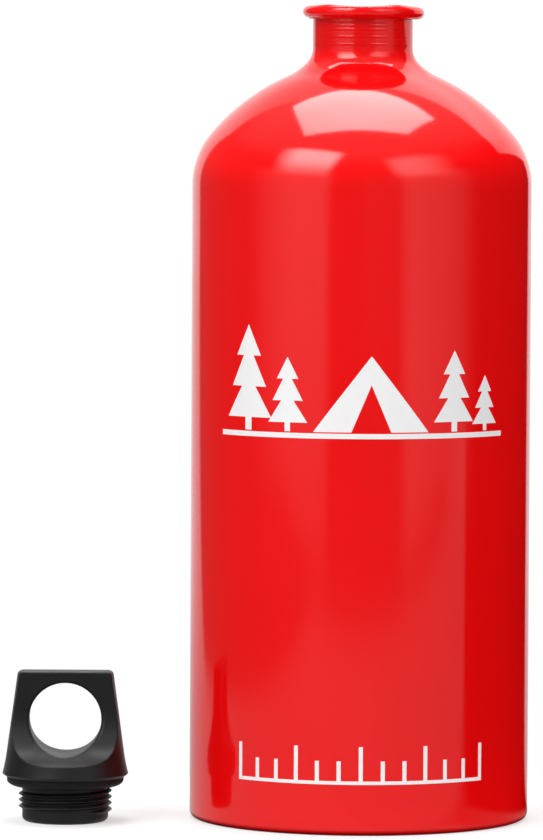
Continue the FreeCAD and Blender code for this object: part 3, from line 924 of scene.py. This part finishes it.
def painted_floor_glow(graph, x, y, distance):
    """The painted glow that the gloss shows of the floor in place of its lit look: a pale sheet, a
    painted dark wedge and the sweep behind.
    """
    sheet = graph.math("MULTIPLY", graph.ramp(y, SHEET_FRONT), graph.ramp(x, SHEET_LEFT))
    front = graph.ramp(sheet, (0.0, 1.0), SHEET_LEVELS, "LINEAR")
    # Painted shade: a dark wedge on the right, where the floor glows less in the gloss
    wedge = graph.ramp(graph.blend((y, 1.0), (x, WEDGE_LEAN)), WEDGE_FRONT)
    painted_lit_area = graph.math("MAXIMUM", wedge, graph.ramp(x, WEDGE_LEFT))
    strip = graph.ramp(graph.blend((x, 1.0), (y, STRIP_LEAN)), STRIP_EDGE, STRIP_LEVELS)
    front = graph.math("MULTIPLY", front, graph.math("MAXIMUM", painted_lit_area, strip))
    rear = graph.ramp(distance, SWEEP_FAR, SWEEP_LEVELS)
    for slope, step in SWEEP_LINES:
        line = graph.math("ADD", graph.math("MULTIPLY", x, slope), step)
        beyond = graph.math("DIVIDE", graph.math("SUBTRACT", y, line), distance)
        rear = graph.math("MULTIPLY", graph.ramp(beyond, SWEEP_EDGE), rear)
    return graph.math("MAXIMUM", front, rear)


def build_floor():
    """A pale table; it keeps the shadow near the object and clears to white further out."""
    floor, graph = flat_object("floor", [
        (FLOOR_LEFT, FLOOR_FRONT, 0),
        (FLOOR_RIGHT, FLOOR_FRONT, 0),
        (FLOOR_RIGHT, FLOOR_BACK, 0),
        (FLOOR_LEFT, FLOOR_BACK, 0),
    ])

    where = graph.node("ShaderNodeTexCoord").outputs["Object"]
    length = graph.node("ShaderNodeVectorMath", operation="LENGTH")
    graph.join(where, length.inputs[0])
    distance = length.outputs["Value"]
    x, y, _ = graph.parts(where)
    path = graph.node("ShaderNodeLightPath").outputs
    camera_ray, glossy_ray = path["Is Camera Ray"], path["Is Glossy Ray"]

    # Painted contact shadow: in gloss and bounce the floor is made dark under the foot, which draws
    # a dark line of contact along the base
    painted_contact_shade = graph.ramp(distance, CONTACT_SHADE_EDGE)
    mirrored = graph.math("MULTIPLY", painted_floor_glow(graph, x, y, distance), glossy_ray)
    mirrored = graph.math("MULTIPLY", mirrored, painted_contact_shade)
    around = graph.ramp(distance, AROUND_EDGE, AROUND_LEVELS)
    bounce = graph.math("MAXIMUM", graph.ramp(x, BOUNCE_ACROSS, BOUNCE_LEVELS), around)
    bounce = graph.math("MULTIPLY", bounce, painted_contact_shade)
    seen = graph.math("MULTIPLY", camera_ray, FLOOR_COLOUR)
    matte = graph.node("ShaderNodeBsdfDiffuse")
    graph.join(graph.math("MAXIMUM", bounce, seen), matte.inputs["Color"])
    white = graph.node("ShaderNodeEmission")
    graph.join(graph.math("MAXIMUM", camera_ray, mirrored), white.inputs["Strength"])
    clear = graph.math("MULTIPLY", graph.ramp(distance, CLEAR_EDGE, CLEAR_LEVELS), camera_ray)
    mix = graph.node("ShaderNodeMixShader")
    graph.join(graph.math("MAXIMUM", clear, glossy_ray), mix.inputs[0])
    graph.join(matte.outputs[0], mix.inputs[1])
    graph.join(white.outputs[0], mix.inputs[2])
    graph.show(mix)


def build_card():
    """A black card right of the bottle, out of the picture, that shows only in its gloss."""
    card, graph = flat_object("dark_card", [(CARD_X, y, z) for y, z in CARD_OUTLINE])
    matte = graph.node("ShaderNodeBsdfDiffuse")
    matte.inputs["Color"].default_value = CARD_COLOUR
    graph.show(matte)
    card.visible_camera = False
    card.visible_diffuse = False
    card.visible_shadow = False


build_bottle()
build_print()
build_stopper()
build_seal()
build_camera()
build_lights()
build_world()
build_floor()
build_card()
bpy.context.scene.view_settings.view_transform = "Standard"
